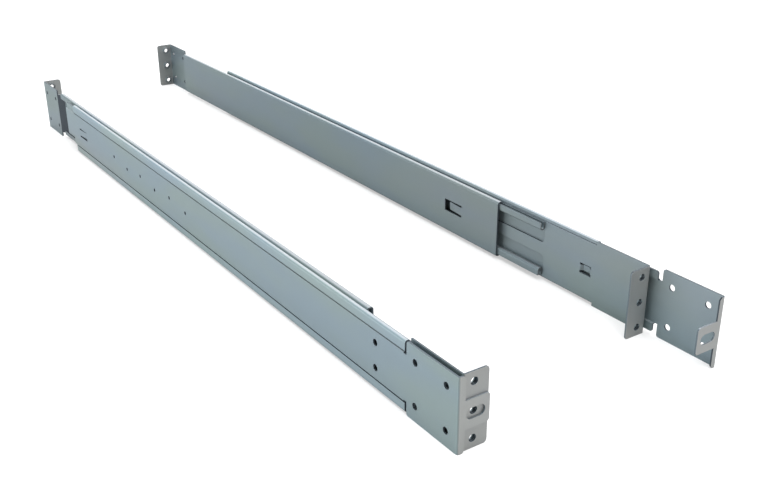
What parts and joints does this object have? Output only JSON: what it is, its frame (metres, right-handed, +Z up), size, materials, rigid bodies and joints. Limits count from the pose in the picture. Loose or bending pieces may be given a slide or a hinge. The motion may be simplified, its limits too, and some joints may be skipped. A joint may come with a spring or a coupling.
{
  "type": "sliding server rail pair",
  "caption": "Pair of telescopic sheet-steel rack rails: outer channels with flanged ends, sliding inner rails and rear brackets that set the depth.",
  "frame": {"origin": "middle of the pair's box in plan, at the height of the lower edges", "axes": "+X across the pair from the left rail to the right one, +Y along the rails from the front flanges to the rear ones, +Z up"},
  "size_m": [0.1662, 0.7252, 0.043],
  "materials": {
    "channel_zinc": "blue-grey zinc plate, satin",
    "inner_zinc": "blue-grey zinc plate, satin",
    "bracket_zinc": "grey zinc plate, satin",
    "guide_zinc": "grey zinc plate, satin",
    "rear_zinc": "blue-grey zinc plate, satin"
  },
  "bodies": {
    "fixed_rails": {"left_outer_channel": "channel_zinc", "left_front_bracket": "bracket_zinc", "left_upper_guide": "guide_zinc", "left_lower_guide": "guide_zinc", "right_outer_channel": "channel_zinc", "right_front_bracket": "bracket_zinc", "right_upper_guide": "guide_zinc", "right_lower_guide": "guide_zinc"},
    "left_slider": {"left_inner_rail": "inner_zinc"},
    "left_rear": {"left_rear_bracket": "rear_zinc"},
    "right_slider": {"right_inner_rail": "inner_zinc"},
    "right_rear": {"right_rear_bracket": "rear_zinc"}
  },
  "joints": [
    {"name": "left_rail_slide", "type": "slide", "parent": "fixed_rails", "child": "left_slider", "axis": [0, -1, 0], "range_m": [0, 0.455]},
    {"name": "left_depth_slide", "type": "slide", "parent": "fixed_rails", "child": "left_rear", "axis": [0, 1, 0], "range_m": [-0.0425, 0.2275]},
    {"name": "right_rail_slide", "type": "slide", "parent": "fixed_rails", "child": "right_slider", "axis": [0, -1, 0], "range_m": [-0.0475, 0.4075]},
    {"name": "right_depth_slide", "type": "slide", "parent": "fixed_rails", "child": "right_rear", "axis": [0, 1, 0], "range_m": [-0.0865, 0.1835]}
  ]
}
